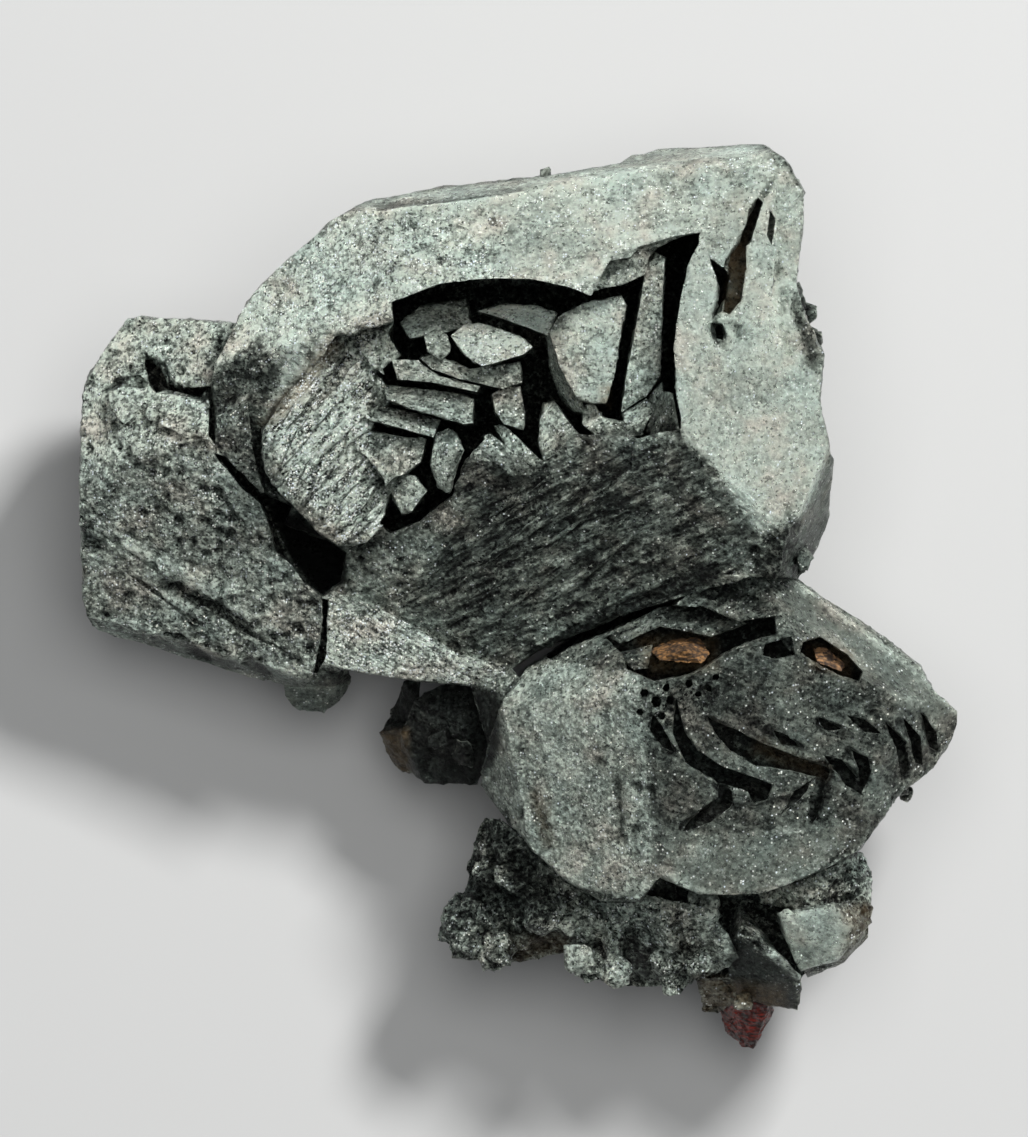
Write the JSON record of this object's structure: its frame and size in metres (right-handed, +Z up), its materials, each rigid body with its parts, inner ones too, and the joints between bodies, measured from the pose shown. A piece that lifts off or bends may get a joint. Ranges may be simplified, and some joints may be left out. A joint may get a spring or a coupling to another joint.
{
  "type": "hematite specimen",
  "caption": "Hand-size cluster of metallic grey hopper crystals grown together, with a stepped hollow in the largest one; lies on its flat back.",
  "frame": {"origin": "on the table, under the centre of the specimen's plan outline", "axes": "+Z up from the table, out of the hollow crystal face; +Y towards the big crystal's top beam; +X towards its right beam"},
  "size_m": [0.0706, 0.0728, 0.0391],
  "materials": {
    "hematite": "metallic grey, finely sparkling crystal faces",
    "ochre": "dull earthy yellow-brown",
    "ochre_brown": "dull earthy brown",
    "red_matrix": "rust red, slightly glassy"
  },
  "bodies": {
    "root": {"hematite_crystals": "hematite", "ochre_remnant_large": "ochre", "ochre_remnant_small": "ochre_brown", "red_matrix_tip": "red_matrix"}
  },
  "joints": []
}
